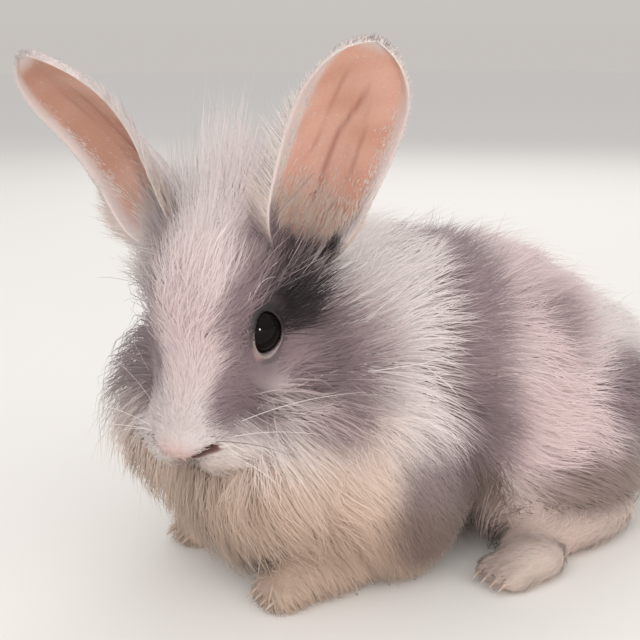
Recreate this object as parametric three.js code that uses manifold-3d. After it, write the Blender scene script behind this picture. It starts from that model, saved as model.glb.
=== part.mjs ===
// A young lionhead rabbit at life size, crouched on its feet with its head turned to its left.
// The frame has +Z up, the rabbit looks along -Y and its left side is +X. Lengths are in millimetres.
// Each node is a closed core with the long locks of its coat fused to it, and nodes meet across thin gaps.
import * as THREE from "three";
import { mergeVertices } from "three/addons/utils/BufferGeometryUtils.js";
import Module from "manifold-3d";

const wasm = await Module();
wasm.setup();

// The gap between nodes.
const GAP = 0.3;

// The head's place and carriage. Its own frame has its origin midway between the eyes, its nose along -Y.
const HEAD_CENTRE = [4, -62, 72];
const HEAD_YAW_DEG = 26;
const HEAD_PITCH_DEG = 37;
const HEAD_ROLL_DEG = 0;
const EYE_RADIUS = 6.8;
const EYE_CENTRE = [10.6, 0, -2.4];
const EYE_WAY = [0.92, -0.34, 0.1];
const LID_THICKNESS = 0.9;
const LID_OPENING = [8, 5.6, 5];
const NOSE_CENTRE = [0, -30.5, -13.5];
const NOSE_RADII = [4, 3, 3];

// The ears: their size, roots in the head's frame, how far round the cup reaches at its root and towards its
// tip, how far it bows backward, and how far each ear splays outward and leans back.
const EAR_LENGTH = 62;
const EAR_WIDTH = 26;
const EAR_THICKNESS = 1.6;
const EAR_ROOT = [14, 24, 4];
const EAR_ROWS = 11;
const EAR_COLUMNS = 8;
const EAR_CUP_DEG = [125, 36];
const EAR_SWAY = 3.5;
const EARS = {
  left: { splay: 31.5, back: 11, facing: [0.85, -0.5, 0] },
  right: { splay: 31, back: 4, facing: [0.1, -0.99, 0] },
};

// How far the coat's tips stand out from the flesh of each part, and the share of that which is core.
const CORE_SHARE = 0.5;
const COAT = {
  torso: 13,
  neck: 13,
  haunch: 10,
  foreleg: 5,
  foot: 1.5,
  tail: 8,
  muzzle: 1.5,
  crown: 8,
  cheek: 15,
};

// The locks: rings of points along each, its shape at each ring, how deep its root is sunk, and how many
// times faster its sharp edges and tip move out than its faces where it is grown by a gap.
const LOCK_RINGS = 3;
const LOCK_TAPER = [0.6, 1, 0.62];
const LOCK_THIN = [1, 1, 0.7];
const LOCK_THICKNESS = 2.6;
const LOCK_SINK = 2.5;
const LOCK_RISE = 2.2;
const EDGE_GROWTH = 4;
const BURIED = 1.5;
const ROOT_TRIALS = 900;

const vec = (x, y, z) => new THREE.Vector3(x, y, z);
const radians = THREE.MathUtils.degToRad;
const mix = THREE.MathUtils.lerp;
const smooth = (value, low = 0, high = 1) => THREE.MathUtils.smoothstep(value, low, high);
const onSide = (side, [x, y, z]) => [side * x, y, z];

const headTurn = new THREE.Quaternion().setFromEuler(
  new THREE.Euler(radians(HEAD_PITCH_DEG), radians(HEAD_ROLL_DEG), radians(HEAD_YAW_DEG), "ZYX"),
);
const headFrame = new THREE.Matrix4().compose(vec(...HEAD_CENTRE), headTurn, vec(1, 1, 1));
const bodyFrame = new THREE.Matrix4();

// An ellipsoid that forms are blended from: its centre, its three radii and its tilt about X in degrees.
const lump = (centre, radii, tilt = 0) => ({
  centre: vec(...centre),
  radii: vec(...radii),
  untilt: new THREE.Quaternion().setFromAxisAngle(vec(1, 0, 0), -radians(tilt)),
});
const mirrored = (centre, radii, tilt = 0) => [1, -1].map((side) => lump(onSide(side, centre), radii, tilt));
const form = (blend, lumps, frame = bodyFrame) => ({ lumps, blend, unframe: frame.clone().invert() });

// Roughly the distance from a point to a form's surface, negative inside it.
function distanceTo(shape, point) {
  const local = point.clone().applyMatrix4(shape.unframe);
  let sum = 0;
  for (const { centre, radii, untilt } of shape.lumps) {
    const q = local.clone().sub(centre).applyQuaternion(untilt).divide(radii);
    const size = q.length();
    const slope = q.divide(radii).length() || 1;
    sum += Math.exp((-size * (size - 1)) / slope / shape.blend);
  }
  return -shape.blend * Math.log(sum);
}

// The flesh under the coat.
const headForm = form(
  2.5,
  [
    lump([0, 8, 0], [16.5, 19, 16]),
    lump([0, -11, -5], [9, 17, 8.5], 28),
    lump([0, -21, -14], [9.5, 10, 8]),
    ...mirrored([12, 1, -13], [12, 14, 12]),
    ...mirrored([11, 14, -9], [11, 13, 13]),
    lump([0, -14, -18], [7, 10, 6]),
  ],
  headFrame,
);
const neckForm = form(4, [
  lump([0, -30, 58], [20, 18, 22]),
  lump([3, -43, 32], [24, 20, 24]),
  lump([-17, -54, 43], [15, 15, 22]),
]);
const torsoForm = form(4, [
  lump([0, -13, 46], [31, 32, 35]),
  lump([0, 20, 42], [35, 38, 33]),
  lump([0, 50, 32], [33, 37, 24]),
]);
const haunchForm = (side) =>
  form(3, [lump([side * 26, 42, 26], [16, 30, 22]), lump([side * 31, 32, 14], [12, 22, 13])]);
const footForm = (side) =>
  form(3, [lump([side * 42, 28, 5], [7, 24, 6]), lump([side * 48, 6, 5], [7.5, 12, 6])]);
const forelegForm = (side) =>
  form(3, [lump([side * 27, -22, 22], [12, 18, 20]), lump([side * 22, -42, 6], [7.5, 17, 6])]);
const TAIL_CENTRE = [0, 90, 26];
const TAIL_CLEAR = 17;
const tailForm = form(3, [lump(TAIL_CENTRE, [8, 8, 10])]);

// The depth of the head's coat, short on the muzzle and long on the cheeks.
function headCoat(point) {
  const local = point.clone().applyMatrix4(headForm.unframe);
  const behind = smooth(local.y + 0.8 * Math.max(0, Math.abs(local.x) - 9), -20, -2);
  const onTop = smooth(local.z, -2, 12);
  const beside = vec(Math.abs(local.x), local.y, local.z).distanceTo(vec(...EYE_CENTRE));
  const clear = smooth(beside, EYE_RADIUS + 2, EYE_RADIUS + 12);
  return mix(COAT.muzzle, mix(COAT.cheek, COAT.crown, onTop), behind * clear);
}

// Each part's core: its flesh form, a centre inside it, how finely it is wrapped and how deep its coat is.
const core = (shape, centre, detail, depthAt) => ({ shape, centre, detail, depthAt });
const flat = (depth) => () => depth;
const both = (make) => ({ left: make(1), right: make(-1) });
const cores = {
  head: core(headForm, vec(0, 0, -5).applyMatrix4(headFrame), 7, headCoat),
  neck: core(neckForm, vec(2, -38, 46), 4, flat(COAT.neck)),
  torso: core(torsoForm, vec(0, 12, 38), 5, flat(COAT.torso)),
  haunch: both((side) => core(haunchForm(side), vec(side * 28, 40, 22.2), 3, flat(COAT.haunch))),
  foot: both((side) => core(footForm(side), vec(side * 44, 18, 5), 3, flat(COAT.foot))),
  foreleg: both((side) => core(forelegForm(side), vec(side * 24, -34, 11.8), 3, flat(COAT.foreleg))),
  tail: core(tailForm, vec(...TAIL_CENTRE), 2, flat(COAT.tail)),
};
const { haunch, foreleg } = cores;
const trunkCores = [cores.head, cores.neck, cores.torso, cores.tail];
const coated = [...trunkCores, haunch.left, haunch.right, foreleg.left, foreleg.right];

// Roughly the distance from a point to the surface of all the cores together, and the way out from it.
const CORE_BLEND = 2;
function coreDistance(point) {
  let sum = 0;
  for (const { shape, depthAt } of coated) {
    sum += Math.exp(-(distanceTo(shape, point) - CORE_SHARE * depthAt(point)) / CORE_BLEND);
  }
  return -CORE_BLEND * Math.log(sum);
}
function coreNormal(point) {
  const step = 0.5;
  const slope = [vec(step, 0, 0), vec(0, step, 0), vec(0, 0, step)].map(
    (offset) => coreDistance(point.clone().add(offset)) - coreDistance(point.clone().sub(offset)),
  );
  return vec(...slope).normalize();
}

// A three.js geometry as a solid that can be joined and cut.
function solid(geometry, matrix = bodyFrame) {
  const bare = new THREE.BufferGeometry().setAttribute("position", geometry.getAttribute("position").clone());
  if (geometry.index) bare.setIndex(geometry.index.clone());
  const merged = mergeVertices(bare.applyMatrix4(matrix), 1e-3);
  return new wasm.Manifold(
    new wasm.Mesh({
      numProp: 3,
      vertProperties: new Float32Array(merged.attributes.position.array),
      triVerts: new Uint32Array(merged.index.array),
    }),
  );
}

// The point on a form's core that lies in one direction from a centre inside it.
function onCore(shape, centre, way, depthAt, grow = 0) {
  let near = 0;
  let far = 90;
  for (let step = 0; step < 26; step++) {
    const spot = centre.clone().addScaledVector(way, (near + far) / 2);
    if (distanceTo(shape, spot) < CORE_SHARE * depthAt(spot) + grow) near = (near + far) / 2;
    else far = (near + far) / 2;
  }
  return centre.clone().addScaledVector(way, near);
}

// A form's core as a closed surface: a sphere's points moved out to it.
function wrapped({ shape, centre, detail, depthAt }, grow) {
  const geometry = new THREE.IcosahedronGeometry(1, detail);
  const place = geometry.getAttribute("position");
  for (let i = 0; i < place.count; i++) {
    const way = vec(place.getX(i), place.getY(i), place.getZ(i)).normalize();
    place.setXYZ(i, ...onCore(shape, centre, way, depthAt, grow).toArray());
  }
  return solid(geometry);
}

// One ellipsoid as a solid, its angles in degrees.
function ellipsoid(centre, radii, frame = bodyFrame, angles = [0, 0, 0], across = 14, down = 10) {
  const turn = new THREE.Quaternion().setFromEuler(new THREE.Euler(...angles.map(radians)));
  const place = new THREE.Matrix4().compose(vec(...centre), turn, vec(...radii));
  return solid(new THREE.SphereGeometry(1, across, down), place.premultiply(frame));
}

const joined = (pieces) => pieces.reduce((whole, piece) => whole.add(piece));
const cutBy = (shape, cutters) => cutters.reduce((rest, cutter) => rest.subtract(cutter), shape);

// Only the largest closed surface of a solid.
function largest(shape) {
  return shape.decompose().reduce((best, body) => (body.volume() > best.volume() ? body : best));
}

// The eyes, each of which turns outward and a little forward.
function eyeBall(side, grow, across = 14, down = 9) {
  const radius = EYE_RADIUS + grow;
  return ellipsoid(onSide(side, EYE_CENTRE), [radius, radius, radius], headFrame, [0, 0, 0], across, down);
}

// The lips and the chin.
const lip = (side, grow) =>
  ellipsoid([side * 4.4, -25, -18.5], [5.6 + grow, 7 + grow, 5 + grow], headFrame, [25, 0, 0], 12, 8);
const chin = (grow) =>
  ellipsoid([0, -21, -23], [5.5 + grow, 6.5 + grow, 3.6 + grow], headFrame, [20, 0, 0], 12, 8);

// The head's core with its lips, chin, nose and lids.
function headWhole(grow) {
  return joined([
    wrapped(cores.head, grow),
    ...[1, -1].map((side) => lip(side, grow)),
    chin(grow),
    ...[1, -1].map((side) => eyeBall(side, GAP + LID_THICKNESS + grow, 14, 8)),
  ]);
}

// The head's whole core with the nose added and the mouth, nostrils and eye openings cut in.
function face(whole) {
  const nose = ellipsoid(NOSE_CENTRE, NOSE_RADII, headFrame, [0, 0, 0], 12, 8);
  const cuts = [
    ellipsoid([0, -22, -21.5], [9.5, 10.5, 0.45], headFrame, [22, 0, 0], 16, 4),
    ellipsoid([0, -32.5, -18], [0.4, 3, 4], headFrame, [15, 0, 0], 6, 4),
  ];
  for (const side of [1, -1]) {
    cuts.push(ellipsoid([side * 2.5, -33.2, -14], [0.6, 2, 2], headFrame, [0, side * -35, side * 25], 6, 4));
    cuts.push(eyeBall(side, GAP + 0.2, 12, 8));
    const outward = vec(...onSide(side, EYE_WAY));
    const opening = vec(...onSide(side, EYE_CENTRE)).addScaledVector(outward, EYE_RADIUS + 3);
    const turn = side * THREE.MathUtils.radToDeg(Math.atan2(EYE_WAY[1], EYE_WAY[0]));
    cuts.push(ellipsoid(opening.toArray(), LID_OPENING, headFrame, [0, 0, turn], 12, 8));
  }
  return cutBy(whole.add(nose), cuts);
}

// Half the ear's width at each share of its length.
function earWidth(share) {
  const rise = 1 - 0.55 * Math.pow(Math.max(0, 1 - share / 0.58), 2);
  const round = Math.sqrt(Math.max(0.02, 1 - Math.pow(Math.max(0, (share - 0.5) / 0.5), 2.5)));
  return (EAR_WIDTH / 2) * rise * round;
}

// One ear: a thin cup, nearly a tube at its root and open towards its tip.
function earPiece(side, { splay, back, facing }, grow = 0) {
  const way = vec(
    side * Math.sin(radians(splay)),
    Math.sin(radians(back)) * Math.cos(radians(splay)),
    Math.cos(radians(back)) * Math.cos(radians(splay)),
  ).applyQuaternion(headTurn);
  const root = vec(...onSide(side, EAR_ROOT)).applyMatrix4(headFrame);
  const open = vec(...facing).addScaledVector(way, -vec(...facing).dot(way)).normalize();
  const across = way.clone().cross(open);
  const place = (share, t, face) => {
    const bend = radians(mix(...EAR_CUP_DEG, smooth(share, 0, 0.75)));
    const radius = earWidth(share) / Math.sin(Math.min(bend, Math.PI / 2));
    const out = radius + face * ((EAR_THICKNESS / 2) * Math.sqrt(1 - 0.7 * t * t) + grow);
    const angle = t * (bend + grow / radius);
    return root
      .clone()
      .addScaledVector(way, EAR_LENGTH * share + grow * (2 * share - 1))
      .addScaledVector(across, out * Math.sin(angle))
      .addScaledVector(open, radius - out * Math.cos(angle) - EAR_SWAY * Math.sin(Math.PI * share));
  };
  const points = [];
  for (const face of [-1, 1]) {
    for (let i = 0; i <= EAR_ROWS; i++) {
      const share = Math.sin((i / EAR_ROWS) * Math.PI * 0.5);
      for (let j = 0; j <= EAR_COLUMNS; j++) {
        points.push(...place(share, (2 * j) / EAR_COLUMNS - 1, face).toArray());
      }
    }
  }
  const at = (face, i, j) => (face * (EAR_ROWS + 1) + i) * (EAR_COLUMNS + 1) + j;
  const faces = [];
  const quad = (a, b, c, d) => faces.push(a, b, c, a, c, d);
  for (let i = 0; i < EAR_ROWS; i++) {
    for (let j = 0; j < EAR_COLUMNS; j++) {
      quad(at(0, i, j), at(0, i, j + 1), at(0, i + 1, j + 1), at(0, i + 1, j));
      faces.push(at(1, i, j), at(1, i + 1, j + 1), at(1, i, j + 1));
      faces.push(at(1, i, j), at(1, i + 1, j), at(1, i + 1, j + 1));
    }
    quad(at(0, i, 0), at(0, i + 1, 0), at(1, i + 1, 0), at(1, i, 0));
    quad(at(0, i, EAR_COLUMNS), at(1, i, EAR_COLUMNS), at(1, i + 1, EAR_COLUMNS), at(0, i + 1, EAR_COLUMNS));
  }
  for (let j = 0; j < EAR_COLUMNS; j++) {
    quad(at(0, 0, j), at(1, 0, j), at(1, 0, j + 1), at(0, 0, j + 1));
    quad(at(0, EAR_ROWS, j), at(0, EAR_ROWS, j + 1), at(1, EAR_ROWS, j + 1), at(1, EAR_ROWS, j));
  }
  const geometry = new THREE.BufferGeometry();
  geometry.setAttribute("position", new THREE.BufferAttribute(new Float32Array(points), 3));
  geometry.setIndex(faces);
  const made = solid(geometry);
  return made.volume() > 0 ? made : solid(geometry.setIndex(faces.reverse()));
}

// A repeatable run of numbers between 0 and 1.
function drawer(seed) {
  let state = seed;
  return () => {
    state = (state + 0x6d2b79f5) | 0;
    let t = Math.imul(state ^ (state >>> 15), 1 | state);
    t = (t + Math.imul(t ^ (t >>> 7), 61 | t)) ^ t;
    return ((t ^ (t >>> 14)) >>> 0) / 2 ** 32;
  };
}

// One lock as a closed solid: a flat strip with a low ridge that follows the core, rises off it and ends in a point.
function lock({ root, length, width, lift, way }, grow) {
  const rings = [];
  const foot = root.clone();
  let normal = coreNormal(foot);
  for (let ring = 0; ring <= LOCK_RINGS; ring++) {
    const share = ring / LOCK_RINGS;
    const along = way(foot).addScaledVector(normal, -way(foot).dot(normal)).normalize();
    const rise = mix(-LOCK_SINK, lift, 1 - Math.pow(1 - share, LOCK_RISE));
    const centre = foot.clone().addScaledVector(normal, rise);
    centre.z = Math.max(centre.z, LOCK_THICKNESS / 2 + 0.2 + 0.8 * (1 - share));
    rings.push({ centre, across: normal.clone().cross(along) });
    foot.addScaledVector(along, length / LOCK_RINGS);
    normal = coreNormal(foot);
    foot.addScaledVector(normal, -coreDistance(foot));
    normal = coreNormal(foot);
  }
  const points = [];
  rings.slice(0, -1).forEach(({ centre, across }, ring) => {
    const along = rings[ring + 1].centre.clone().sub(rings[Math.max(ring - 1, 0)].centre).normalize();
    const out = along.cross(across);
    const half = (width / 2) * LOCK_TAPER[ring] + EDGE_GROWTH * grow;
    const thick = (LOCK_THICKNESS / 2) * LOCK_THIN[ring] + grow;
    for (const [x, y] of [[half, -thick], [0, thick], [-half, -thick]]) {
      points.push(...centre.clone().addScaledVector(across, x).addScaledVector(out, y).toArray());
    }
  });
  const tip = rings.at(-1).centre.clone();
  const before = rings.at(-2).centre;
  points.push(...tip.addScaledVector(tip.clone().sub(before).normalize(), EDGE_GROWTH * grow).toArray());
  const faces = [0, 2, 1];
  const last = (LOCK_RINGS - 1) * 3;
  for (let side = 0; side < 3; side++) {
    const next = (side + 1) % 3;
    for (let at = 0; at < last; at += 3) {
      faces.push(at + side, at + next, at + 3 + next, at + side, at + 3 + next, at + 3 + side);
    }
    faces.push(last + side, last + next, last + 3);
  }
  const geometry = new THREE.BufferGeometry();
  geometry.setAttribute("position", new THREE.BufferAttribute(new Float32Array(points), 3));
  geometry.setIndex(faces);
  const made = solid(geometry);
  return made.volume() > 0 ? made : solid(geometry.setIndex(faces.reverse()));
}

// The locks of one part: roots spread evenly over its core where it is bare, each lock varied a little.
function coat(part, { spacing, seed, where, way, length, width, lift, turn = 0.2 }) {
  const draw = drawer(seed);
  const locks = [];
  for (let i = 0; i < ROOT_TRIALS; i++) {
    const height = 1 - (2 * (i + 0.5)) / ROOT_TRIALS;
    const around = i * Math.PI * (3 - Math.sqrt(5));
    const flatness = Math.sqrt(1 - height * height);
    const out = vec(flatness * Math.cos(around), flatness * Math.sin(around), height);
    const root = onCore(part.shape, part.centre, out, part.depthAt);
    if (!where(root) || locks.some((other) => other.root.distanceTo(root) < spacing)) continue;
    if (coreDistance(root) < -BURIED) continue;
    const swing = turn * (2 * draw() - 1);
    const vary = (amount) => 1 + amount * (2 * draw() - 1);
    locks.push({
      root,
      length: length(root) * vary(0.2),
      width: width * vary(0.15),
      lift: lift(root) * vary(0.2),
      way: (at) => way(at).applyAxisAngle(coreNormal(at), swing),
    });
  }
  return locks;
}

// The lie of the coat: down the brow and back over the head, down the bib, and back along the body.
const inHead = (point) => point.clone().applyMatrix4(headForm.unframe);
const headWay = (x, y, z) => vec(x, y, z).applyQuaternion(headTurn);
const bodyWay = (point) => vec(0.004 * point.x, 1, mix(-0.9, -0.12, smooth(point.z, 5, 75)));
const neckWay = (point) => {
  const chest = smooth(-point.y, 40, 62);
  return vec(0.02 * point.x, mix(1, 0.05, chest), mix(-0.45, -1, chest));
};
const cheekWay = (point) => {
  const { x, z } = inHead(point);
  return headWay(Math.sign(x) * 0.25, 1, mix(-0.65, -0.1, smooth(z, -22, 6)));
};
const crownWay = (point) => headWay(0.05 * inHead(point).x, 0.5, 1);
const onCrown = ({ x, y, z }) => Math.abs(x) < 12 && y > 0 && y < 22 && z > 8;
const onCheek = ({ x, y, z }) => {
  const fromEye = vec(Math.abs(x), y, z).distanceTo(vec(...EYE_CENTRE));
  return (Math.abs(x) > 9 || y > 16) && y > -11 && z > -25 && fromEye > (y < 0 ? 16 : 13);
};

const coats = {
  head: [
    ...coat(cores.head, {
      spacing: 12.5,
      seed: 11,
      way: cheekWay,
      length: (at) => mix(14, 25, smooth(inHead(at).y, -8, 18)),
      width: 13,
      lift: () => 9,
      where: (at) => onCheek(inHead(at)) && !onCrown(inHead(at)),
    }),
    ...coat(cores.head, {
      spacing: 7,
      seed: 12,
      way: crownWay,
      length: (at) => mix(14, 9, smooth(inHead(at).y, 0, 10)),
      width: 6,
      lift: (at) => mix(7, 25, smooth(inHead(at).y, 0, 10)),
      turn: 0.7,
      where: (at) => onCrown(inHead(at)),
    }),
  ],
  neck: coat(cores.neck, {
    spacing: 15.5,
    seed: 24,
    way: neckWay,
    length: () => 27,
    width: 15,
    lift: () => COAT.neck * CORE_SHARE,
    where: (at) => at.z > 12,
  }),
  torso: coat(cores.torso, {
    spacing: 18,
    seed: 31,
    way: bodyWay,
    length: (at) => mix(32, 17, smooth(at.y, 58, 86)),
    width: 17,
    lift: () => COAT.torso * CORE_SHARE,
    where: (at) => at.z > 14 && at.distanceTo(vec(...TAIL_CENTRE)) > TAIL_CLEAR,
  }),
  tail: coat(cores.tail, {
    spacing: 10.5,
    seed: 42,
    way: () => vec(0, 0.7, 0.5),
    length: () => 9,
    width: 9,
    lift: () => COAT.tail * CORE_SHARE,
    where: (at) => at.z > 12 && at.y > 88,
  }),
};
for (const [name, side] of [["left", 1], ["right", -1]]) {
  coats[`haunch_${name}`] = coat(haunch[name], {
    spacing: 16,
    seed: 50 + side,
    way: bodyWay,
    length: () => 26,
    width: 15,
    lift: () => COAT.haunch * CORE_SHARE,
    where: (at) => at.z > 14 && side * at.x > 14,
  });
  coats[`foreleg_${name}`] = coat(foreleg[name], {
    spacing: 12,
    seed: 60 + side,
    way: (at) => bodyWay(at).setZ(-0.8),
    length: () => 15,
    width: 11,
    lift: () => COAT.foreleg * CORE_SHARE + 1,
    where: (at) => at.z > 14 && side * at.x > 24,
  });
}
const locksOf = (name, grow) => (coats[name] ?? []).map((each) => lock(each, grow));

// The nodes from front to back. Each is cut clear of those before it that it touches.
const built = {};
const cutters = {};
const ground = solid(new THREE.BoxGeometry(600, 600, 200), new THREE.Matrix4().setPosition(0, 0, -100));
function addNode(name, make, { under = [], beside = [], finish = (shape) => shape } = {}) {
  const locks = locksOf(name, 0).map((each) => cutBy(each, beside.map((other) => cutters[other])));
  const whole = cutBy(joined([make(0), ...locks]), [...under.map((other) => cutters[other]), ground]);
  built[name] = largest(finish(whole));
  cutters[name] = joined([make(GAP), ...locksOf(name, GAP)]);
}
for (const [name, side] of [["left", 1], ["right", -1]]) {
  addNode(`eye_${name}`, (grow) => eyeBall(side, grow));
  cutters[`ear_${name}`] = earPiece(side, EARS[name], GAP);
}
addNode("head", headWhole, { finish: face, beside: ["ear_left", "ear_right"] });
const skull = headWhole(GAP);
for (const [name, side] of [["left", 1], ["right", -1]]) {
  built[`ear_${name}`] = largest(earPiece(side, EARS[name]).subtract(skull));
}
addNode("neck", (grow) => wrapped(cores.neck, grow), { under: ["head", "ear_left", "ear_right"] });
addNode("torso", (grow) => wrapped(cores.torso, grow), { under: ["head", "neck", "ear_left", "ear_right"] });
for (const name of ["left", "right"]) {
  const trunk = ["head", "neck", "torso"];
  addNode(`foreleg_${name}`, (grow) => wrapped(foreleg[name], grow), { under: trunk });
  addNode(`haunch_${name}`, (grow) => wrapped(haunch[name], grow), { under: trunk });
  addNode(`hindfoot_${name}`, (grow) => wrapped(cores.foot[name], grow), {
    under: [...trunk, `haunch_${name}`, `foreleg_${name}`],
  });
}
addNode("tail", (grow) => wrapped(cores.tail, grow), { under: ["torso", "haunch_left", "haunch_right"] });

const materials = {
  coat: new THREE.MeshStandardMaterial({ color: 0xd9d0cd, roughness: 0.95, metalness: 0 }),
  ear: new THREE.MeshStandardMaterial({ color: 0xdba692, roughness: 0.8, metalness: 0 }),
  eye: new THREE.MeshStandardMaterial({ color: 0x0d0c0c, roughness: 0.05, metalness: 0 }),
};

// A solid as a named mesh.
function meshOf(name, shape) {
  const made = shape.getMesh();
  const points = new Float32Array(made.numVert * 3);
  for (let i = 0; i < made.numVert; i++) {
    points.set(made.vertProperties.subarray(i * made.numProp, i * made.numProp + 3), i * 3);
  }
  const geometry = new THREE.BufferGeometry();
  geometry.setAttribute("position", new THREE.BufferAttribute(points, 3));
  geometry.setIndex(new THREE.BufferAttribute(new Uint32Array(made.triVerts), 1));
  geometry.computeVertexNormals();
  const kind = Object.keys(materials).find((key) => name.startsWith(key)) ?? "coat";
  const mesh = new THREE.Mesh(geometry, materials[kind]);
  mesh.name = name;
  return mesh;
}

// The group stands with the middle of its box at the origin and its feet on the plane Z = 0.
const rabbit = new THREE.Group();
for (const [name, shape] of Object.entries(built)) rabbit.add(meshOf(name, shape));
const box = new THREE.Box3().setFromObject(rabbit);
const middle = box.getCenter(vec(0, 0, 0));
for (const mesh of rabbit.children) mesh.position.set(-middle.x, -middle.y, -box.min.z);

export default rabbit;
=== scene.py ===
"""A young lionhead rabbit as a still, life-size model.

It has one skin, two eyes, claws, whiskers and a long, soft coat of solid hairs in joined meshes. Shapes are
worked out in millimetres in the rabbit's own frame, where it looks along -Y and its left side is +X, and are
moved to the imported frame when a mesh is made.
"""

import math

import bpy
import numpy as np
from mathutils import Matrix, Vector
from mathutils.kdtree import KDTree


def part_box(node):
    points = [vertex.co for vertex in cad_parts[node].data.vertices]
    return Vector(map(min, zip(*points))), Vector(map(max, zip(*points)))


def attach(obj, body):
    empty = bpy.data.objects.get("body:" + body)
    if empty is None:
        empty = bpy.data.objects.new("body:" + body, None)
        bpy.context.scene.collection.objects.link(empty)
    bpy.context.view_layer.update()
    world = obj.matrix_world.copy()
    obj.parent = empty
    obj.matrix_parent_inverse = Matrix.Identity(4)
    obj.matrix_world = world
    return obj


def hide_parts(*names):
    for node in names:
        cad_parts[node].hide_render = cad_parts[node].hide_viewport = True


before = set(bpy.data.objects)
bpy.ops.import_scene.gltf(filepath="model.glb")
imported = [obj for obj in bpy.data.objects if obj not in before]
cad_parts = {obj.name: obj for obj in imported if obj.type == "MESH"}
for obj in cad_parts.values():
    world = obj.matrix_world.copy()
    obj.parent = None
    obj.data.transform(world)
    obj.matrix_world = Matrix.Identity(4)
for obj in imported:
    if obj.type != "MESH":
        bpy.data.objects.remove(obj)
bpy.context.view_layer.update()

# The head, the eyes and the ears, in millimetres and degrees.

HEAD_CENTRE = np.array([4.0, -62.0, 72.0])
HEAD_YAW = 26.0
HEAD_PITCH = 37.0
EYE_RADIUS = 6.8
EYE_CENTRE = np.array([10.6, 0.0, -2.4])
EYE_LOOK = np.array([0.88, -0.44, 0.14])
EYE_OPENING = (4.1, 5.9)
EYE_LEAN = -25.5
LID = 0.6

EAR_LENGTH = 62.0
EAR_WIDTH = 26.0
EAR_THICKNESS = 1.3
EAR_ROOT = np.array([14.0, 24.0, 4.0])
# Each ear's side, how far it splays and leans back, and the way that its inner face looks.
EARS = {
    "left": (1, 31.5, 11.0, np.array([0.85, -0.5, 0.0])),
    "right": (-1, 31.0, 4.0, np.array([0.1, -0.99, 0.0])),
}

# The camera stands at the rabbit's left front, a little above its back.
CAMERA_PLACE = np.array([223.8, -184.5, 132.9])
CAMERA_AZIMUTH = 55.0
CAMERA_PITCH = 14.0
CAMERA_LENS = 58.9
CAMERA_SENSOR = 36

THINNING = 1.0


def turn_x(degrees):
    a = math.radians(degrees)
    return np.array([[1, 0, 0], [0, math.cos(a), -math.sin(a)], [0, math.sin(a), math.cos(a)]])


def turn_z(degrees):
    a = math.radians(degrees)
    return np.array([[math.cos(a), -math.sin(a), 0], [math.sin(a), math.cos(a), 0], [0, 0, 1]])


HEAD_TURN = turn_z(HEAD_YAW) @ turn_x(HEAD_PITCH)


def to_head(points):
    return (points - HEAD_CENTRE) @ HEAD_TURN


def from_head(points):
    return np.asarray(points) @ HEAD_TURN.T + HEAD_CENTRE


def head_way(way):
    return np.asarray(way) @ HEAD_TURN.T


eye_low, eye_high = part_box("eye_left")
SHIFT = np.array((eye_low + eye_high) * 500) - from_head(EYE_CENTRE)


def to_frame(points):
    """Points in millimetres in the rabbit's own frame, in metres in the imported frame."""
    return (points + SHIFT) / 1000


def smooth(value, low=0.0, high=1.0):
    share = np.clip((value - low) / (high - low), 0, 1)
    return share * share * (3 - 2 * share)


def mix(a, b, share):
    return a + (b - a) * share


def blend(a, b, share):
    """Colours mixed, with one share for each place."""
    return mix(a, b, share[:, None])


def unit(v):
    return v / np.maximum(np.linalg.norm(v, axis=-1, keepdims=True), 1e-9)


def size_of(v):
    return np.linalg.norm(v, axis=-1)


def columns(*values):
    return np.stack(values, -1)


def linear(*levels):
    """A colour from its 0 to 255 screen levels."""
    c = np.array(levels) / 255
    return np.where(c <= 0.04045, c / 12.92, ((c + 0.055) / 1.055) ** 2.4)


RIPPLE_WAVES = 5
RIPPLE_HEIGHT = 2.6


def ripple(points, scale, seed):
    """A smooth, repeatable variation between about -1 and 1."""
    draw = np.random.default_rng(seed)
    total = np.zeros(len(points))
    for _ in range(RIPPLE_WAVES):
        wave = draw.normal(size=3)
        total += np.sin(points @ (wave / scale) + draw.uniform(0, 6.3))
    return total / RIPPLE_HEIGHT


def ripples(points, scale, seed):
    return columns(*(ripple(points, scale, seed + axis) for axis in range(3)))


# The flesh, as a field of blended ellipsoids.


def lump(centre, radii, tilt=0.0):
    return np.array(centre, float), np.array(radii, float), tilt


def pair(centre, radii, tilt=0.0):
    x, y, z = centre
    return [lump((x, y, z), radii, tilt), lump((-x, y, z), radii, tilt)]


HEAD = [
    lump((0, 8, 0), (16.5, 19, 16)),
    lump((0, -11, -5), (9, 17, 8.5), 28),
    lump((0, -21, -14), (9.5, 10, 8)),
    *pair((12, 1, -13), (12, 14, 12)),
    *pair((11, 14, -9), (11, 13, 13)),
    lump((0, -14, -18), (7, 10, 6)),
]
NECK = [
    lump((0, -30, 58), (20, 18, 22)),
    lump((3, -43, 32), (24, 20, 24)),
    lump((-17, -54, 43), (15, 15, 22)),
]
TORSO = [
    lump((0, -13, 46), (31, 32, 35)),
    lump((0, 20, 42), (35, 38, 33)),
    lump((0, 50, 32), (33, 37, 24)),
]
HAUNCH = [*pair((26, 42, 26), (16, 30, 22)), *pair((31, 32, 14), (12, 22, 13))]
TOES = [-4.6, -1.5, 1.6, 4.6]
FOOT = [*pair((42, 28, 5), (7, 24, 5.4)), *pair((48, 7, 4.2), (7, 10, 5))]
FORELEG = [*pair((27, -22, 22), (12, 18, 20)), *pair((22, -42, 6), (7.5, 15, 5.6))]
for aside in TOES:
    FOOT += pair((48 + aside, -2.5 if aside < 4 else -2, 2.9), (1.9, 4.6, 2.9))
    FORELEG += pair((22 + 0.9 * aside, -55.5, 2.8), (1.8, 4, 2.8))
TAIL = [lump((0, 90, 26), (8, 8, 10))]

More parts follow.
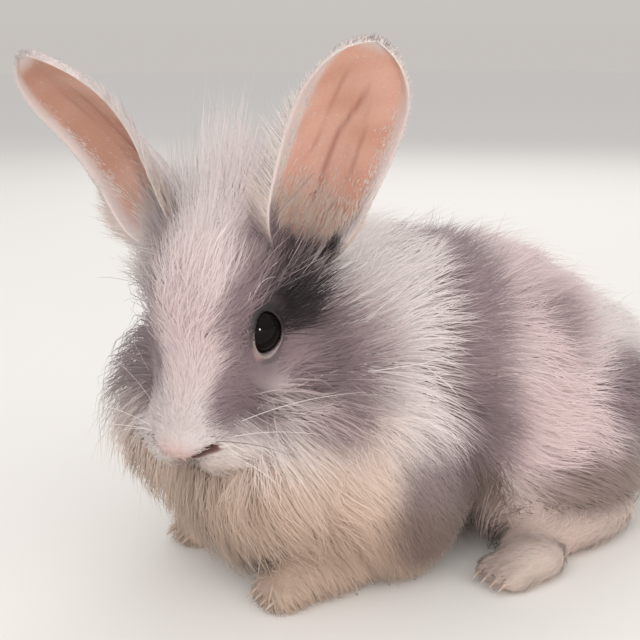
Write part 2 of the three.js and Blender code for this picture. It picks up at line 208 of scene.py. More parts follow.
# Each part: whether it is in the head's frame, how softly its lumps blend, its lumps, and its coat's depth.
PARTS = {
    "head": (True, 2.5, HEAD, 0.0),
    "neck": (False, 4.0, NECK, 13.0),
    "torso": (False, 4.0, TORSO, 13.0),
    "haunch": (False, 3.0, HAUNCH, 10.0),
    "foot": (False, 0.8, FOOT, 1.5),
    "foreleg": (False, 1.2, FORELEG, 4.5),
    "tail": (False, 3.0, TAIL, 8.0),
}
BODY_BLEND = 3.0
FEET = [list(PARTS).index(part) for part in ("foot", "foreleg")]

# The hollow round the eye is in the eye's own directions, and the rest is in the head's.
EYE_HOLLOW = lump((16.5, 2, -1), (12, 15, 14))
LIP = lump((6.4, -24, -17.6), (7.2, 8, 6), 25)
CHIN = lump((0, -21, -23), (5.5, 6.5, 3.6), 20)
NOSE = lump((0, -29.4, -13.0), (6.2, 4, 3.6))
PHILTRUM = lump((0, -32.5, -18.5), (0.45, 2.6, 3.4), 15)
MOUTH_RADII = np.array([9.5, 10.5, 0.45])
SLIT_RADII = np.array([5.0, 3.0, 0.42])


def ellipsoid(points, centre, radii, tilt=0.0):
    q = points - np.asarray(centre)
    if tilt:
        q = q @ turn_x(tilt)
    q = q / np.asarray(radii)
    size = size_of(q)
    slope = size_of(q / np.asarray(radii))
    return size * (size - 1) / np.maximum(slope, 1e-6)


def merged(distances, soft):
    """Several fields as one, blended where they meet."""
    total = np.exp(np.maximum(-np.array(distances) / soft, -300)).sum(0)
    return -soft * np.log(np.maximum(total, 1e-300))


def part_distances(points):
    """The distance to each part of the body on its own."""
    local = to_head(points)
    made = []
    for own, soft, lumps, _ in PARTS.values():
        made.append(merged([ellipsoid(local if own else points, *each) for each in lumps], soft))
    return np.array(made)


def joined(a, b, soft):
    h = np.clip(0.5 + 0.5 * (b - a) / soft, 0, 1)
    return mix(b, a, h) - soft * h * (1 - h)


def cut(a, b, soft):
    """One field with another taken away."""
    return -joined(-a, b, soft)


# The eye's own directions in the head's frame: outward, backward and upward.
EYE_OUT = unit(EYE_LOOK)
EYE_BACK = unit(np.cross(EYE_OUT, [0, 0, -1.0]))
EYE_UP = np.cross(EYE_OUT, EYE_BACK)
EYE_FRAME = np.stack([EYE_OUT, EYE_BACK, EYE_UP], 1)


def mirrored(local):
    return columns(np.abs(local[:, 0]), local[:, 1], local[:, 2])


def eye_place(local):
    """Where a point in the head's frame lies from its own side's eye: outward, backward and upward."""
    return (mirrored(local) - EYE_CENTRE) @ EYE_FRAME


def opening(place):
    """How far a point lies outside the leaning oval between the lids."""
    a = math.radians(EYE_LEAN)
    wide = place[:, 1] * math.cos(a) + place[:, 2] * math.sin(a)
    high = place[:, 2] * math.cos(a) - place[:, 1] * math.sin(a)
    return (np.hypot(wide / EYE_OPENING[0], high / EYE_OPENING[1]) - 1) * 4.6


# The box in the head's frame that the face lies in.
FACE_LOW = np.array([-24, -42, -32])
FACE_HIGH = np.array([24, 14, 14])


def near_face(local):
    return ((local > FACE_LOW) & (local < FACE_HIGH)).all(-1)


def flesh(points):
    """The distance to the flesh alone, drawn back around the eyes, which the coat follows."""
    made = merged(part_distances(points), BODY_BLEND)
    local = to_head(points)
    place = eye_place(local)
    made = cut(made, ellipsoid(place, *EYE_HOLLOW), 3.0)
    made = joined(made, size_of(place) - (EYE_RADIUS + LID), 1.8)
    near = near_face(local)
    local = local[near]
    lips = joined(made[near], ellipsoid(mirrored(local), *LIP), 1.5)
    lips = joined(lips, ellipsoid(local, *CHIN), 1.5)
    made[near] = joined(lips, ellipsoid(local, *NOSE), 2.5)
    return made


# The slits of the nostrils run from the middle of the nose outward and up.
SLIT_MIDDLE = np.array([4.6, -31.2, -14.6])
SLIT_ALONG = unit(np.array([8.6, 4.4, 3.6]))
SLIT_INWARD = unit(np.cross(np.cross(SLIT_ALONG, [-0.1, 0.9, 0.3]), SLIT_ALONG))
SLIT_FRAME = np.stack([SLIT_ALONG, SLIT_INWARD, np.cross(SLIT_ALONG, SLIT_INWARD)], 1)
SLIT_BOW = 0.05


def slit(local, grow=0.0):
    place = (mirrored(local) - SLIT_MIDDLE) @ SLIT_FRAME
    place[:, 2] += SLIT_BOW * place[:, 0] ** 2
    return ellipsoid(place, (0, 0, 0), SLIT_RADII + grow)


def mouth(local, grow=0.0):
    return ellipsoid(local, (0, -22, -21.5), MOUTH_RADII + grow, 22)


def face(local, whole):
    """The head's field with its nostrils, mouth and lids."""
    made = cut(whole, mouth(local), 0.5)
    made = cut(made, ellipsoid(local, *PHILTRUM), 0.5)
    made = cut(made, slit(local), 0.6)
    place = eye_place(local)
    ball = size_of(place)
    ahead = place[:, 0] > 0
    made = cut(made, ball - (EYE_RADIUS + 0.12), 0.15)
    hole = np.where(ahead, opening(place), 9.0)
    made = cut(made, np.maximum(hole, ball - (EYE_RADIUS + 7)), 0.3)
    rim = np.hypot(hole, ball - (EYE_RADIUS + 0.4)) - 0.34
    return np.where(ahead, joined(made, rim, 0.4), made)


SOLE_HEIGHT = 0.3


def skin_field(points):
    """The distance to the skin: the flesh, its face, and flat soles on the floor."""
    made = flesh(points)
    local = to_head(points)
    near = near_face(local)
    made[near] = face(local[near], made[near])
    return np.maximum(made, SOLE_HEIGHT - points[:, 2])


def slope_of(field, points, step=0.12):
    rows = []
    for axis in np.eye(3) * step:
        rows.append((field(points + axis) - field(points - axis)) / (2 * step))
    return columns(*rows)


# The skin's surface.


def axis_steps(low, high, fine_low, fine_high):
    """Grid lines along one axis, close together between two places."""
    lines = [low]
    while lines[-1] < high:
        away = max(fine_low - lines[-1], lines[-1] - fine_high, 0)
        lines.append(lines[-1] + mix(FINE, COARSE, min(away / 12, 1)))
    return np.array(lines)


def crossings(value, where, corners):
    """The middle of the places where each cell's edges meet the surface."""
    total, number = np.zeros(where[0].shape), np.zeros(len(where[0]))
    for a in range(8):
        for b in range(a + 1, 8):
            if sum(p != q for p, q in zip(corners[a], corners[b])) != 1:
                continue
            crossed = (value[a] < 0) != (value[b] < 0)
            share = np.where(crossed, value[a] / np.where(crossed, value[a] - value[b], 1), 0)
            total += crossed[:, None] * mix(where[a], where[b], share[:, None])
            number += crossed
    return total / number[:, None]


def surface(lines, field):
    """The zero surface of a field: one vertex in each cell that it crosses, and four-sided faces."""
    grid = np.stack(np.meshgrid(*lines, indexing="ij"), -1)
    value = np.concatenate([field(plane.reshape(-1, 3)) for plane in grid]).reshape(grid.shape[:3])
    inside = value < 0
    corners = [(a, b, c) for a in (0, 1) for b in (0, 1) for c in (0, 1)]
    shape = np.array(value.shape) - 1
    count = np.zeros(shape, np.int8)
    for a, b, c in corners:
        count += inside[a : a + shape[0], b : b + shape[1], c : c + shape[2]]
    cells = np.argwhere((count > 0) & (count < 8))
    number = np.full(count.shape, -1)
    number[tuple(cells.T)] = np.arange(len(cells))
    at = [tuple((cells + corner).T) for corner in corners]
    points = crossings([value[i] for i in at], [grid[i] for i in at], corners)
    faces = []
    for axis, (u, v) in enumerate([(1, 2), (2, 0), (0, 1)]):
        first = [slice(None)] * 3
        second = [slice(None)] * 3
        first[axis], second[axis] = slice(0, -1), slice(1, None)
        edges = np.argwhere(inside[tuple(first)] != inside[tuple(second)])
        edges = edges[(edges[:, u] > 0) & (edges[:, v] > 0)]
        edges = edges[(edges[:, u] < shape[u]) & (edges[:, v] < shape[v])]
        ring = []
        for du, dv in [(-1, -1), (0, -1), (0, 0), (-1, 0)]:
            cell = edges.copy()
            cell[:, u] += du
            cell[:, v] += dv
            ring.append(number[tuple(cell.T)])
        quads = columns(*ring)
        outward = inside[tuple(edges.T)]
        faces.append(np.where(outward[:, None], quads, quads[:, ::-1]))
    return points, np.concatenate(faces)


FINE = 0.42
COARSE = 1.8
# Along each axis: the first and last grid line, and the stretch of the face, where they lie close together.
SKIN_GRID = [(-60, 60, -10, 26), (-101, 104, -96, -52), (-1.2, 101, 42, 78)]
MOST_PUSH = 0.3


def make_skin():
    points, quads = surface([axis_steps(*reach) for reach in SKIN_GRID], skin_field)
    for _ in range(2):
        slope = slope_of(skin_field, points)
        push = skin_field(points) / np.maximum((slope**2).sum(-1), 0.2)
        points -= np.clip(push, -MOST_PUSH, MOST_PUSH)[:, None] * slope
    return points, quads


# The ears.


def ear_frame(side, splay, back, facing):
    """An ear's root, and the ways along it, ahead of its inner face and across it."""
    s, b = math.radians(splay), math.radians(back)
    way = head_way([side * math.sin(s), math.sin(b) * math.cos(s), math.cos(b) * math.cos(s)])
    way = unit(way)
    ahead = unit(facing - way * (facing @ way))
    return from_head(EAR_ROOT * [side, 1, 1]), way, ahead, np.cross(way, ahead)


def ear_half_width(share):
    rise = 1 - 0.55 * np.maximum(0, 1 - share / 0.58) ** 2
    ending = np.sqrt(np.maximum(0.003, 1 - np.maximum(0, (share - 0.5) / 0.5) ** 3.1))
    return EAR_WIDTH / 2 * rise * ending


# Half of the cup's angle at the ear's root and near its tip, in degrees.
CUP_ROOT = 125
CUP_TIP = 36


def ear_point(name, share, across, depth):
    """A place on an ear: its share of the length, from -1 to 1 across the cup, and its depth in the ear."""
    root, way, ahead, side = ear_frame(*EARS[name])
    bend = np.radians(mix(CUP_ROOT, CUP_TIP, smooth(share, 0, 0.75)))
    radius = ear_half_width(share) / np.sin(np.minimum(bend, math.pi / 2))
    wave = 0.6 * np.sin(across * 5 + share * 4) * smooth(share, 0.1, 0.4) * (1 - smooth(share, 0.8, 1))
    ridge = 0.7 * np.exp(-(((across + 0.12 - 0.2 * share) / 0.09) ** 2)) * (1 - smooth(share, 0.5, 0.9))
    roll = 1.1 * smooth(np.abs(across), 0.8, 1) * smooth(share, 0.15, 0.4)
    out = radius + depth + wave - ridge - roll
    angle = across * bend
    sway = -3.5 * np.sin(np.pi * share)
    return (
        root
        + way * (EAR_LENGTH * share)[..., None]
        + side * (out * np.sin(angle))[..., None]
        + ahead * (radius - out * np.cos(angle) + sway)[..., None]
    )


EAR_ROWS, EAR_COLUMNS, EAR_RIM = 56, 30, 3


def facing_out(points, triangles):
    a, b, c = points[triangles[:, 0]], points[triangles[:, 1]], points[triangles[:, 2]]
    volume = (a * np.cross(b, c)).sum()
    return triangles if volume > 0 else triangles[:, ::-1]


def ring_triangles(rings, around):
    """The faces between rings of points, closed by one more point before the first and after the last."""
    index = np.arange(rings * around).reshape(rings, around)
    ahead = np.roll(index, -1, axis=1)
    a, b, c, d = (corner.ravel() for corner in (index[:-1], ahead[:-1], ahead[1:], index[1:]))
    first, last = np.full(around, rings * around), np.full(around, rings * around + 1)
    fans = [columns(first, ahead[0], index[0]), columns(last, index[-1], ahead[-1])]
    return np.concatenate([columns(a, b, c), columns(a, c, d), *fans])


def make_ear(name):
    """One ear as a thin closed cup: round each row lie the inner face, a rim, the outer face and a rim."""
    share = np.sin(np.linspace(0, 1, EAR_ROWS + 1) ** 0.9 * math.pi / 2)
    inner = np.linspace(-1, 1, EAR_COLUMNS + 1)
    half = EAR_THICKNESS / 2
    turns = np.linspace(0, math.pi, EAR_RIM + 2)[1:-1]
    across = np.concatenate([inner, 1 + 0 * turns, inner[::-1], -1 + 0 * turns])
    side_depth = half * np.sqrt(1 - 0.6 * inner**2)
    edge = half * math.sqrt(0.4)
    depth = np.concatenate([-side_depth, -edge * np.cos(turns), side_depth[::-1], edge * np.cos(turns)])
    push = np.concatenate([0 * inner, np.sin(turns), 0 * inner, -np.sin(turns)]) * edge
    rows, around = np.meshgrid(share, np.arange(len(across)), indexing="ij")
    reach = across[around] + push[around] / np.maximum(ear_half_width(rows), 2)
    points = ear_point(name, rows, reach, depth[around])
    flat = np.concatenate([points.reshape(-1, 3), points[[0, -1]].mean(1)])
    inside = np.concatenate([(depth[around] < 0).reshape(-1), [True, True]])
    place = np.concatenate([columns(rows.reshape(-1), reach.reshape(-1)), [[0, 0], [1, 0]]])
    return flat, facing_out(flat, ring_triangles(*rows.shape)), inside, place


# The markings, and some painted shade.

WHITE = linear(207, 196, 192)
CREAM = linear(194, 165, 142)
ROSE = linear(202, 180, 178)
GREY = linear(123, 105, 107)
DARK = linear(26, 19, 19)
# The colour of painted shade under the chin and low down on the body.
SHADE_BROWN = linear(102, 84, 72)
NOSE_PINK = linear(206, 164, 156)
# The colour of painted shade in the nostrils' creases, in the mouth and under the nose.
CREASE_SHADE = linear(84, 50, 44)
EAR_PINK = linear(208, 163, 146)
EAR_DEEP = linear(194, 144, 122)
EAR_VEIN = linear(148, 92, 80)
LID_PALE = linear(152, 139, 134)
WHISKER = linear(236, 228, 222)

# Each spot: its centre, its radii, how soft its edge is and how strong it is. These are in the head's frame.
CHEEK = ((27, 0, -14), (20, 23.5, 25), 0.14)
FAR_CHEEK = ((-36, -8, -12), (26, 19, 17), 0.2)
HEAD_GREY = [
    CHEEK,
    FAR_CHEEK,
    ((19, 3, 3), (12, 17, 14), 0.25),
    ((13.5, -16, -9), (7, 14, 10), 0.25),
    ((15, 17, 13), (8, 11, 10), 0.4, 0.9),
    ((-16, 0, 4), (9, 14, 10), 0.4, 0.85),
    ((-13, -14, -2), (8.5, 11, 10), 0.3, 0.85),
    ((-16, 17, 13), (9, 11, 9), 0.5, 0.8),
]
PALE_MUZZLE = ((7, -27, -20), (11, 9, 9), 0.35, 0.95)
PALE_STREAKS = [
    ((27.5, -12, -13), (7, 6, 10), 0.7, 0.7),
    ((22, -19, -22), (12, 5, 6), 0.6, 0.55),
]
# Dark fur, deepened with painted shade between the near eye and the near ear's root; the last spot is only
# painted shade at the corner of the mouth.
DARK_FUR_AND_SHADE = [
    ((23, 11, 4), (10, 14, 8), 0.45),
    ((21, 18, 6), (8, 9, 7), 0.5, 0.4),
    ((27, 6, -1), (9, 8, 5.5), 0.5, 0.9),
    ((15, 4, 3), (5, 8, 5), 0.5, 0.45),
    ((-17, 18, 5), (7, 8, 8), 0.6, 0.6),
    ((24, -15, -26), (8, 4, 4), 0.6, 0.6),
]
ROSE_BLAZE = ((2, -4, 8), (14, 30, 16), 0.5, 0.8)
CREAM_CHIN = ((5, -22, -22), (12, 12, 8), 0.5, 0.6)
CREAM_CHEEK = ((34, -12, -30), (14, 14, 10), 0.6, 0.5)
# Painted shade under the chin.
SHADE_UNDER_CHIN = ((2, -20, -34), (16, 14, 12), 0.6, 0.35)
PINK_NOSE = ((0, -32, -13.5), (6, 5, 4), 0.5, 0.55)
# Painted shade under the nose, above the mouth.
SHADE_UNDER_NOSE = ((0, -31, -20), (4, 6, 4), 0.6, 0.6)
# The inner corner of the eye, in the eye's own directions.
PINK_CORNER = ((6, -4.6, -2.5), (4, 1.4, 2.0), 0.5, 0.35)
# The grey patches on the flanks, the legs and the rump, in the rabbit's own frame.
BODY_GREY = [
    ((37, 34, 66), (10, 7, 11), 0.35),
    ((47, 55, 40), (17, 17, 15), 0.3),
    ((50, 36, 19), (16, 26, 8), 0.4, 0.8),
    ((44, -18, 20), (14, 18, 18), 0.35, 0.9),
    ((-22, 58, 56), (18, 14, 18), 0.4),
    ((-46, 42, 34), (14, 14, 16), 0.4),
    ((-44, -20, 24), (14, 13, 16), 0.4, 0.8),
]


def spot(points, centre, radii, edge, strength=1.0):
    """The strength inside a soft-edged ellipsoid and zero outside it."""
    away = size_of((points - np.asarray(centre)) / np.asarray(radii))
    return strength * (1 - smooth(away, 1 - edge, 1 + edge))


def either(*shares):
    """The softly joined coverage of several spots."""
    left = np.ones_like(shares[0])
    for share in shares:
        left = left * (1 - np.clip(share, 0, 1))
    return 1 - left


def spots(points, places):
    return either(*(spot(points, *place) for place in places))


def head_marks(local):
    """How far the head's own coat reaches, and how grey and how dark it is there, the dark being dark fur
    and painted shade.
    """
    reach = smooth(34 - size_of(local - [0, 0, -9]), -8, 0)
    reach = reach * (1 - smooth(local[:, 1], 18, 27))
    own = either(reach, spots(local, [CHEEK, FAR_CHEEK]))
    pale = either(spot(mirrored(local), *PALE_MUZZLE), spots(local, PALE_STREAKS))
    return own, spots(local, HEAD_GREY) * (1 - pale) * own, spots(local, DARK_FUR_AND_SHADE) * own


def body_marks(points):
    """How grey the body's coat is: a band behind the shoulder and patches on the legs, flanks and rump."""
    y, z = points[:, 1], points[:, 2]
    middle = mix(-1, 14, smooth(z, 52, 90))
    half = mix(9.5, 10.5, smooth(z, 50, 88))
    band = 1 - smooth(np.abs(y - middle), half - 3, half + 3)
    return either(band * smooth(z, 8, 15), spots(points, BODY_GREY))


def coat_colour(points):
    """The coat's colour at each place on or over the skin."""
    q = points + 1.5 * ripples(points, 5, seed=1)
    local = to_head(q)
    ahead, z = -q[:, 1], q[:, 2]
    own, grey, dark = head_marks(local)
    grey = either(grey, body_marks(q) * (1 - own))
    cream = smooth(44 - z, 0, 22) * smooth(ahead, 8, 40) + 0.6 * smooth(28 - z, 0, 22)
    cream += spot(local, *CREAM_CHIN) + spot(local, *CREAM_CHEEK)
    # Painted shade: the pale coat turns browner low at the front and under the chin.
    low_shade = either(0.3 * smooth(30 - z, 0, 20) * smooth(ahead, -10, 20), spot(local, *SHADE_UNDER_CHIN))
    pale = blend(WHITE, ROSE, smooth(ripple(points, 12, seed=7), -0.4, 1))
    pale = blend(pale, ROSE, spot(local, *ROSE_BLAZE))
    pale = blend(pale, CREAM, 0.8 * np.clip(cream, 0, 1))
    pale = blend(pale, SHADE_BROWN, low_shade)
    lilac = blend(0.85 * GREY, 1.3 * GREY, smooth(ripple(points, 7, seed=8), -1, 1))
    # Painted shade: the grey coat turns browner near the floor.
    lilac = blend(lilac, SHADE_BROWN, 0.8 * smooth(32 - z, 0, 14))
    # The dark spots are dark fur and painted shade.
    made = blend(blend(pale, lilac, grey), DARK, 0.95 * dark)
    local = to_head(points)
    made = blend(made, NOSE_PINK, spot(local, *PINK_NOSE))
    # Painted shade darkens the nostrils' creases and the place under the nose, on the hairs as on the skin.
    crease_shade = 1 - smooth(slit(local), 0.1, 0.8)
    return blend(made, CREASE_SHADE, np.clip(0.85 * crease_shade + spot(local, *SHADE_UNDER_NOSE), 0, 1))


# Meshes and materials.


def placed(name, data):
    made = bpy.data.objects.new(name, data)
    bpy.context.scene.collection.objects.link(made)
    return made


def make_mesh(name, points, triangles, material, uv=None, colour=None, normals=None):
    """A mesh object from arrays, with one pair of uv for each corner and one colour for each point."""
    mesh = bpy.data.meshes.new(name)
    mesh.vertices.add(len(points))
    mesh.vertices.foreach_set("co", to_frame(points).astype(np.float32).ravel())
    mesh.loops.add(triangles.size)
    mesh.loops.foreach_set("vertex_index", triangles.astype(np.int32).ravel())
    mesh.polygons.add(len(triangles))
    mesh.polygons.foreach_set("loop_start", np.arange(0, triangles.size, 3, dtype=np.int32))
    mesh.polygons.foreach_set("use_smooth", np.full(len(triangles), True))
    if uv is not None:
        layer = mesh.uv_layers.new(name="OFBake")
        layer.uv.foreach_set("vector", uv.astype(np.float32).ravel())
    if colour is not None:
        layer = mesh.color_attributes.new("Coat", "FLOAT_COLOR", "POINT")
        layer.data.foreach_set("color", np.c_[colour, np.ones(len(colour))].astype(np.float32).ravel())
    mesh.update(calc_edges=True)
    mesh.validate()
    if normals is not None:
        mesh.normals_split_custom_set_from_vertices(normals.astype(np.float32))
    mesh.materials.append(material)
    made = placed(name, mesh)
    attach(made, "root")
    return made


def set_inputs(node, **inputs):
    """A node's inputs set to values, with _ for each space in an input's name."""
    for key, value in inputs.items():
        node.inputs[key.replace("_", " ")].default_value = value
    return node


def new_material(name, **inputs):
    made = bpy.data.materials.new(name)
    made.use_nodes = True
    nodes, links = made.node_tree.nodes, made.node_tree.links
    return made, nodes, links, set_inputs(nodes["Principled BSDF"], **inputs)


def add_noise(nodes, links, scale):
    place = nodes.new("ShaderNodeTexCoord")
    noise = set_inputs(nodes.new("ShaderNodeTexNoise"), Scale=scale)
    links.new(place.outputs["Object"], noise.inputs["Vector"])
    return noise


def varied_colour(nodes, links, shader, scale, low, high):
    """The mesh's own colours, made lighter and darker by a fine noise."""
    colour = nodes.new("ShaderNodeVertexColor")
    colour.layer_name = "Coat"
    noise = add_noise(nodes, links, scale)
    level = set_inputs(nodes.new("ShaderNodeMapRange"), To_Min=low, To_Max=high)
    links.new(noise.outputs["Fac"], level.inputs["Value"])
    tint = nodes.new("ShaderNodeVectorMath")
    tint.operation = "SCALE"
    links.new(colour.outputs["Color"], tint.inputs[0])
    links.new(level.outputs["Result"], tint.inputs["Scale"])
    links.new(tint.outputs["Vector"], shader.inputs["Base Color"])
    return noise


def coat_material():
    made, nodes, links, shader = new_material("coat", Roughness=0.75, Specular_IOR_Level=0.15)
    set_inputs(shader, Sheen_Weight=0.12, Sheen_Roughness=0.6)
    varied_colour(nodes, links, shader, 900, 0.88, 1.12)
    return made


def skin_material():
    made, nodes, links, shader = new_material("skin", Roughness=0.6)
    set_inputs(shader, Subsurface_Weight=0.35, Subsurface_Radius=(1.0, 0.4, 0.25), Subsurface_Scale=0.0015)
    noise = set_inputs(varied_colour(nodes, links, shader, 1400, 0.9, 1.1), Detail=4)
    bump = set_inputs(nodes.new("ShaderNodeBump"), Strength=0.25, Distance=0.0003)
    links.new(noise.outputs["Fac"], bump.inputs["Height"])
    links.new(bump.outputs["Normal"], shader.inputs["Normal"])
    return made


def add_ramp(nodes, low, high):
    ramp = nodes.new("ShaderNodeValToRGB")
    ramp.color_ramp.elements[0].color = (*low, 1)
    ramp.color_ramp.elements[1].color = (*high, 1)
    return ramp


def ramp_material(name, scale, low, high, roughness, gloss=0.5):
    """A material whose colour wanders between two."""
    made, nodes, links, shader = new_material(name, Roughness=roughness, Specular_IOR_Level=gloss)
    ramp = add_ramp(nodes, low, high)
    links.new(add_noise(nodes, links, scale).outputs["Fac"], ramp.inputs["Fac"])
    links.new(ramp.outputs["Color"], shader.inputs["Base Color"])
    return made


COAT_LOOK = coat_material()
SKIN_LOOK = skin_material()
EYE_BLACKS = ((0.003, 0.002, 0.002), (0.007, 0.005, 0.004))
CLAW_TONES = ((0.30, 0.20, 0.15), (0.52, 0.40, 0.32))
BALL_LOOK = ramp_material("eye", 300, *EYE_BLACKS, roughness=0.04, gloss=0.12)
CLAW_LOOK = ramp_material("claw", 700, *CLAW_TONES, roughness=0.35)


# The camera, the floor and the light, in metres and watts.

FLOOR_REACH = 9
FLOOR_TONE = (0.72, 0.69, 0.65, 1)
HORIZON = (0.565, 0.535, 0.505)
SKY = (0.76, 0.76, 0.78)
SKY_RISE = (0.02, 0.5)
LIGHT_AIM = Vector((0, -0.02, 0.05))
# Each light: where it stands, how wide it is and how strong it is.
LIGHTS = {
    "key": ((0.25, -0.7, 0.85), 0.9, 5.5),
    "fill": ((0.9, 0.3, 0.6), 1.0, 3.0),
    "back": ((-0.6, 0.6, 0.8), 0.8, 4.0),
    "glint": ((0.782, -0.276, 0.061), 0.08, 2.0),
}


def make_camera():
    a, p = math.radians(CAMERA_AZIMUTH), math.radians(CAMERA_PITCH)
    ahead = Vector((-math.sin(a) * math.cos(p), math.cos(a) * math.cos(p), -math.sin(p)))
    data = bpy.data.cameras.new("camera")
    data.lens = CAMERA_LENS
    data.sensor_width = CAMERA_SENSOR
    data.clip_start = 0.01
    camera = placed("camera", data)
    camera.location = to_frame(CAMERA_PLACE)
    camera.rotation_euler = ahead.to_track_quat("-Z", "Y").to_euler()
    bpy.context.scene.camera = camera


def make_floor():
    mesh = bpy.data.meshes.new("floor")
    corners = [(FLOOR_REACH * x, FLOOR_REACH * y, 0) for x, y in ((-1, -1), (1, -1), (1, 1), (-1, 1))]
    mesh.from_pydata(corners, [], [(0, 1, 2, 3)])
    look, *_ = new_material("floor", Base_Color=FLOOR_TONE, Roughness=0.9)
    mesh.materials.append(look)
    placed("floor", mesh)


def make_light():
    """A soft studio: a pale sky that meets the floor's tone at the horizon, and four square lights."""
    world = bpy.data.worlds.new("studio")
    bpy.context.scene.world = world
    world.use_nodes = True
    nodes, links = world.node_tree.nodes, world.node_tree.links
    way = nodes.new("ShaderNodeTexCoord")
    height = nodes.new("ShaderNodeSeparateXYZ")
    links.new(way.outputs["Generated"], height.inputs["Vector"])
    sky = add_ramp(nodes, HORIZON, SKY)
    sky.color_ramp.elements[0].position, sky.color_ramp.elements[1].position = SKY_RISE
    links.new(height.outputs["Z"], sky.inputs["Fac"])
    links.new(sky.outputs["Color"], nodes["Background"].inputs["Color"])
    set_inputs(nodes["Background"], Strength=1.0)
    for name, (place, size, power) in LIGHTS.items():
        light = bpy.data.lights.new(name, "AREA")
        light.size = size
        light.energy = power
        made = placed(name, light)
        made.location = place
        made.visible_glossy = name == "glint"
        made.rotation_euler = (LIGHT_AIM - Vector(place)).to_track_quat("-Z", "Y").to_euler()


make_camera()
make_floor()
make_light()
bpy.context.scene.view_settings.view_transform = "Standard"


# The skin and the ears as one mesh.

FLESH_NODES = ["head", "ear_left", "ear_right", "neck", "torso", "tail"]
FLESH_NODES += [f"{part}_{side}" for part in ("foreleg", "haunch", "hindfoot") for side in ("left", "right")]


def skin_colour(points):
    """The coat's markings, with painted shade in the nostrils and mouth and on the eyes' upper back side,
    pink on the nose and pale on the lids.
    """
    local = to_head(points)
    # Painted shade darkens the nostrils and the mouth.
    inner = (1 - smooth(slit(local, 0.5), 0, 0.6)) + (1 - smooth(mouth(local, 0.3), 0, 0.5))
    made = blend(coat_colour(points) * 0.96, CREASE_SHADE, 0.9 * np.clip(inner, 0, 1))
    place = eye_place(local)
    hole = opening(place)
    ahead = (place[:, 0] > 0) & (size_of(place) < 10)
    # Painted shade: the ring round the eye and the lid's rim turn dark on their upper back side, under the
    # upper lid, and stay grey or pale below.
    shade = smooth(0.6 * place[:, 1] + 0.8 * place[:, 2], -2.5, 1.5)
    around = (1 - smooth(hole, 0.8, 3.0)) * ahead
    made = blend(made, blend(0.5 * GREY, DARK, shade), 0.8 * around)
    made = blend(made, NOSE_PINK, spot(place, *PINK_CORNER))
    rim = (1 - smooth(np.abs(hole - 0.1), 0.15, 0.34)) * ahead
    return blend(made, blend(LID_PALE, DARK, shade), rim)


# Each vein of the ear: where it starts across the ear, its drift, its width, its strength and its reach.
VEINS = [
    (-0.1, 0.3, 0.045, 0.7, (0.15, 0.85)),
    (0.3, 0.12, 0.03, 0.4, (0.3, 0.75)),
    (-0.45, 0.3, 0.03, 0.4, (0.35, 0.9)),
]
# How light the inside of each ear is: the far, right ear's inside is darker with painted shade.
EAR_SHADE_LEVEL = {"left": 1.0, "right": 0.8}


def ear_grown(inner, share, across):
    """How far each place on an ear has left the head's markings behind."""
    cup = inner & (np.abs(across) < 0.6)
    return np.where(cup, smooth(share, -0.02, 0.06), smooth(share, 0.08, 0.26))


def ear_colour(name, flat, inside, place):
    """Mottled pink with veins and a pale edge inside, the coat's colour outside."""
    share, across = place[:, 0], place[:, 1]
    mottle = ripple(flat, 3.5, seed=11) + 0.6 * ripple(flat, 9, seed=12)
    # The right ear's pink is darkened by painted shade.
    pink = blend(EAR_PINK, EAR_DEEP, smooth(mottle, -1, 1.2)) * EAR_SHADE_LEVEL[name]
    for start, drift, width, strength, (low, high) in VEINS:
        bend = 0.05 * np.sin(11 * share + 9 * start)
        line = np.exp(-(((across - start - drift * share - bend) / width) ** 2))
        line *= smooth(share, low, low + 0.1) * (1 - smooth(share, high - 0.15, high))
        pink = blend(pink, EAR_VEIN, strength * line)
    reach = np.where(across * EARS[name][0] < 0, 0.62, 0.74)
    edge = smooth(np.abs(across), reach, reach + 0.2)
    pink = blend(pink, WHITE, 0.9 * np.maximum(edge, smooth(share, 0.93, 0.99)))
    made = np.where(inside[:, None], pink, 0.9 * WHITE)
    return blend(coat_colour(flat), made, ear_grown(inside, share, across))


def unwrap(made):
    """The skin's own unwrap, on which each hair has its place."""
    layer = made.data.uv_layers.new(name="OFBake")
    made.data.uv_layers.active = layer
    bpy.context.view_layer.objects.active = made
    made.select_set(True)
    bpy.ops.object.mode_set(mode="EDIT")
    bpy.ops.mesh.select_all(action="SELECT")
    bpy.ops.uv.smart_project(angle_limit=math.radians(60), island_margin=0.004)
    bpy.ops.object.mode_set(mode="OBJECT")
    made.select_set(False)


def make_body():
    """The skin with its points and triangles, and which of the triangles are the body and each ear."""
    points, quads = make_skin()
    triangles = np.concatenate([quads[:, [0, 1, 2]], quads[:, [0, 2, 3]]])
    colour = skin_colour(points)
    parts = {"body": (0, len(triangles), None, None)}
    for name in EARS:
        flat, faces, inside, place = make_ear(name)
        end = len(triangles) + len(faces)
        parts[name] = (len(triangles), end, inside[faces].all(1), place[faces].mean(1))
        triangles = np.concatenate([triangles, faces + len(points)])
        points = np.concatenate([points, flat])
        colour = np.concatenate([colour, ear_colour(name, flat, inside, place)])
    made = make_mesh("skin", points, triangles, SKIN_LOOK, colour=colour)
    unwrap(made)
    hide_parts(*FLESH_NODES)
    return made, points, triangles, parts


skin, SKIN_POINTS, SKIN_TRIANGLES, SKIN_PARTS = make_body()


# The eyes.

EYE_TURNS = 64
EYE_TILTS = 40


